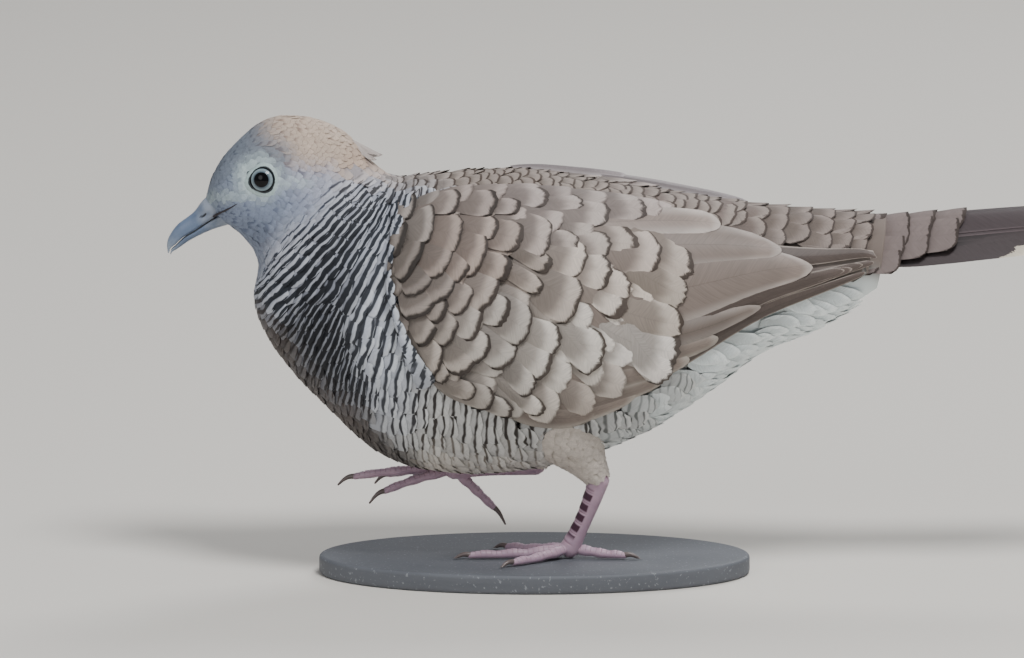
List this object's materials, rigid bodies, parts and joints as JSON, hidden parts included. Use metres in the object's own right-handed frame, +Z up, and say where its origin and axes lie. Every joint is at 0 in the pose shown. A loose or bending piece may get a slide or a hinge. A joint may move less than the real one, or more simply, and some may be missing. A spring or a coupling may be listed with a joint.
{
  "type": "zebra dove model",
  "caption": "Life-size model of a zebra dove in mid stride, one foot down and one raised, tail level, on a small oval stone base.",
  "frame": {"origin": "middle of the underside of the whole model's bounding box, which is the base's underside", "axes": "+X from the bill towards the tail's tip, +Y towards the bird's right side, +Z up"},
  "size_m": [0.218, 0.049, 0.0969],
  "materials": {
    "head_plumage": "soft, fine close feathers, blue-grey face and pinkish-brown crown",
    "barred_plumage": "soft feathers with fine dark and pale bars",
    "covert_plumage": "loose pale feathers",
    "wing_plumage": "smooth overlapping feathers with dark fringes",
    "flight_feathers": "smooth stiff feathers",
    "leg_skin": "scaled skin, slightly glossy",
    "bill_horn": "smooth horn",
    "claw_horn": "smooth dark horn",
    "eye": "wet gloss",
    "stand_slate": "honed, matte"
  },
  "bodies": {
    "root": {"bill_lower": "bill_horn", "bill_upper": "bill_horn", "claw_left_hallux": "claw_horn", "claw_left_inner": "claw_horn", "claw_left_middle": "claw_horn", "claw_left_outer": "claw_horn", "claw_right_hallux": "claw_horn", "claw_right_inner": "claw_horn", "claw_right_middle": "claw_horn", "claw_right_outer": "claw_horn", "eye_left": "eye", "eye_right": "eye", "head": "head_plumage", "leg_left": "leg_skin", "leg_right": "leg_skin", "neck": "barred_plumage", "stand_base": "stand_slate", "tail": "flight_feathers", "tail_coverts": "covert_plumage", "thigh_left": "covert_plumage", "thigh_right": "covert_plumage", "trunk": "barred_plumage", "wing_left_coverts": "wing_plumage", "wing_left_primaries": "flight_feathers", "wing_left_tertials": "wing_plumage", "wing_right_coverts": "wing_plumage", "wing_right_primaries": "flight_feathers", "wing_right_tertials": "wing_plumage"}
  },
  "joints": []
}
